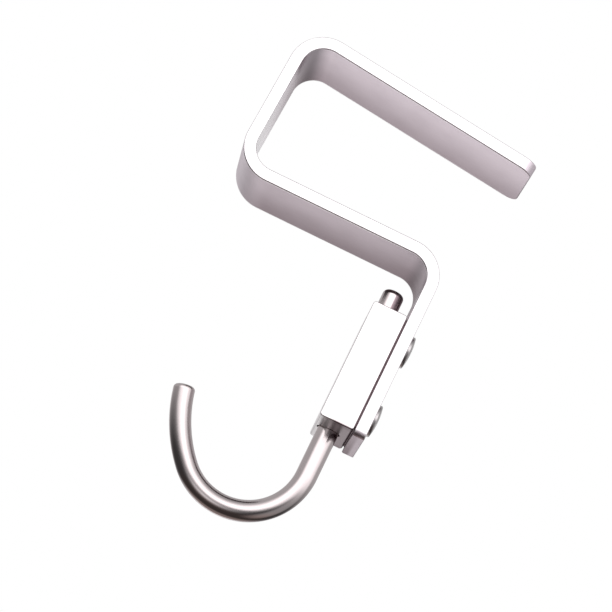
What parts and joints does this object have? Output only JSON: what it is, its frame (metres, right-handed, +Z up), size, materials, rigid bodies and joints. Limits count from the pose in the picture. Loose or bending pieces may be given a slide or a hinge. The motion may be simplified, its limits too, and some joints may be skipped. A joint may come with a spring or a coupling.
{
  "type": "desk bag hook",
  "caption": "Flat bar bent into a clamp that grips a desk top, with a J-shaped rod hook that swivels in a block on its leg.",
  "frame": {"origin": "middle of the lower arm's upper face, where the desk's underside bears", "axes": "+Z up, square to the lower arm; +X towards the clamp's open end; Y across the bar"},
  "size_m": [0.0646, 0.025, 0.1124],
  "materials": {
    "satin_steel": "fine satin, edges broken",
    "satin_block": "bright satin",
    "polished_steel": "polished",
    "screw_steel": "turned, half bright"
  },
  "bodies": {
    "clamp": {"clamp_strip": "satin_steel", "swivel_block": "satin_block", "upper_screw": "screw_steel", "lower_screw": "screw_steel"},
    "hook": {"hook_rod": "polished_steel"}
  },
  "joints": [
    {"name": "hook_swivel", "type": "hinge", "parent": "clamp", "child": "hook", "pos_m": [0.0198, 0, -0.0323], "axis": [0, 0, 1], "continuous": true}
  ]
}
